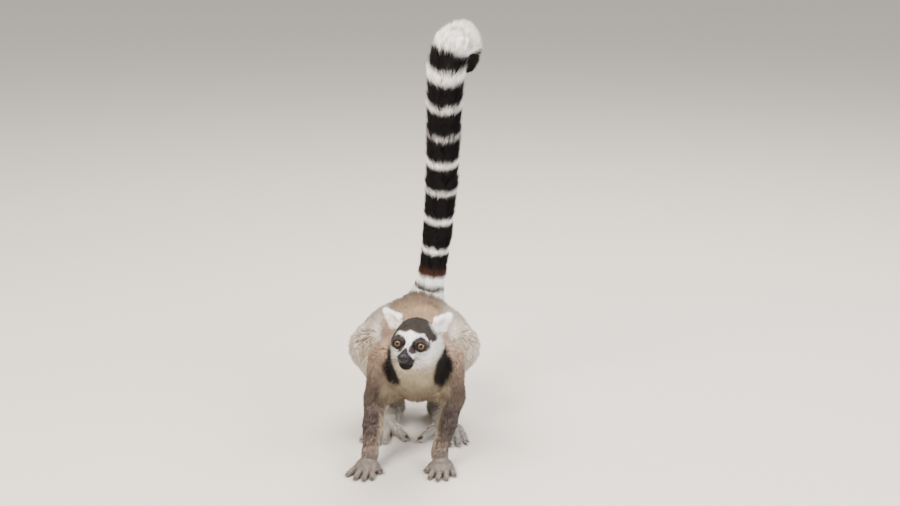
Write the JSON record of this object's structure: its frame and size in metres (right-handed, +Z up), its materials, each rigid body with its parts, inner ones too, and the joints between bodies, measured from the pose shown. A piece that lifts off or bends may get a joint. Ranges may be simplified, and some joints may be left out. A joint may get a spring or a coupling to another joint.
{
  "type": "ring-tailed lemur",
  "caption": "Life-size ring-tailed lemur standing low on all fours, head turned a little to its right, ringed tail raised and curling over at the tip. A still model.",
  "frame": {"origin": "on the floor, under the middle of the model's box", "axes": "+Z up, -Y the way it faces, +X its own left"},
  "size_m": [0.1858, 0.3976, 0.5645],
  "materials": {
    "coat_head": "soft white and grey fur with dark brown-grey cap and eye patches",
    "coat_pale": "soft white to cream fur",
    "dark_skin": "bare dark skin and short dark hair, the nose a little moist",
    "iris": "wet amber eye with a dark pupil",
    "coat_body": "dense grey-brown fur, warmer along the back",
    "coat_tail": "bushy fur in white and black rings"
  },
  "bodies": {
    "root": {"head": "coat_head", "neck": "coat_head", "ear_right": "coat_pale", "ear_left": "coat_pale", "belly": "coat_pale", "muzzle": "dark_skin", "nose": "dark_skin", "eye_right": "iris", "eye_left": "iris", "chest": "coat_body", "rump": "coat_body", "upper_arm_right": "coat_body", "upper_arm_left": "coat_body", "forearm_right": "coat_body", "forearm_left": "coat_body", "hand_right": "coat_body", "hand_left": "coat_body", "thigh_right": "coat_body", "thigh_left": "coat_body", "shin_right": "coat_body", "shin_left": "coat_body", "foot_right": "coat_body", "foot_left": "coat_body", "tail_root": "coat_tail", "tail_lower": "coat_tail", "tail_upper": "coat_tail", "tail_bend": "coat_tail", "tail_tip": "coat_tail"}
  },
  "joints": []
}
